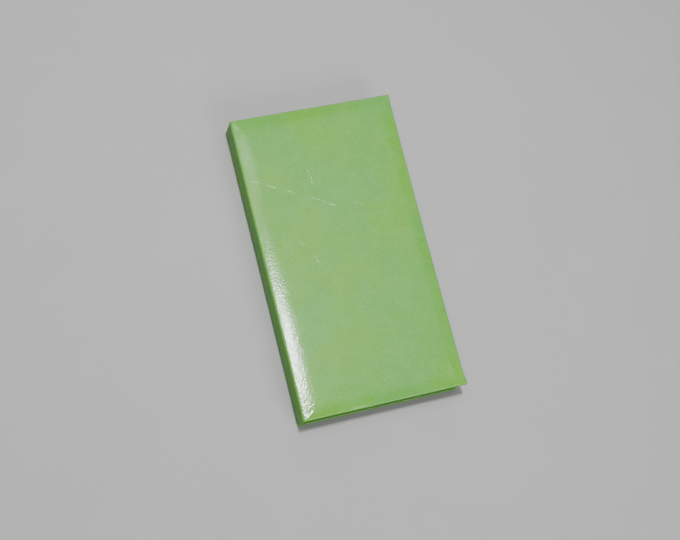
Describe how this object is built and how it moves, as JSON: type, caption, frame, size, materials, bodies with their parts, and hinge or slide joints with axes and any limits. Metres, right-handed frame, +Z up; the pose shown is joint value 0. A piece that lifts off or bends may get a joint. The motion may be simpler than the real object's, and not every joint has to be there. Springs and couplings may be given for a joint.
{
  "type": "card deck box",
  "caption": "Slim book-form leather card deck box: padded front cover hinged on a flat spine, over a shallow lined tray with deck wells and a well for small things.",
  "frame": {"origin": "centre of the face the closed box rests on", "axes": "+X from the spine to the fore-edge, +Y from the foot to the head, +Z up through the front cover"},
  "size_m": [0.106, 0.194, 0.0215],
  "materials": {
    "cover_leather": "satin, polished smooth, worn",
    "tray_leather": "satin, darker than the covers",
    "board": "matt",
    "lining_cloth": "matt suede",
    "well_felt": "matt felt",
    "padding_foam": "matt foam",
    "magnet_steel": "satin nickel"
  },
  "bodies": {
    "tray": {"back_board": "board", "back_leather": "cover_leather", "back_liner": "lining_cloth", "tray_base": "board", "tray_head_wall": "board", "tray_foot_wall": "board", "tray_fore_wall": "board", "tray_rear_wall": "board", "tray_leather": "tray_leather", "head_divider": "board", "foot_divider": "board", "head_divider_wrap": "lining_cloth", "foot_divider_wrap": "lining_cloth", "head_well_lining": "lining_cloth", "foot_well_lining": "lining_cloth", "middle_well_lining": "lining_cloth", "head_well_pad": "well_felt", "foot_well_pad": "well_felt", "middle_well_pad": "well_felt", "closure_magnets": "magnet_steel"},
    "spine": {"spine_board": "board", "spine_leather": "cover_leather", "spine_liner": "lining_cloth", "back_hinge_leather": "cover_leather", "back_joint_cloth": "lining_cloth"},
    "cover": {"front_board": "board", "front_padding": "padding_foam", "front_leather": "cover_leather", "front_liner": "lining_cloth", "closure_plates": "magnet_steel", "front_hinge_leather": "cover_leather", "front_joint_cloth": "lining_cloth"}
  },
  "joints": [
    {"name": "spine_hinge", "type": "hinge", "parent": "tray", "child": "spine", "pos_m": [-0.0525, 0, 0.0005], "axis": [0, -1, 0], "range_deg": [0, 90], "deforming": ["back_hinge_leather", "back_joint_cloth"]},
    {"name": "cover_hinge", "type": "hinge", "parent": "spine", "child": "cover", "pos_m": [-0.0518, 0, 0.0203], "axis": [0, -1, 0], "range_deg": [0, 90], "deforming": ["front_hinge_leather", "front_joint_cloth"]}
  ]
}
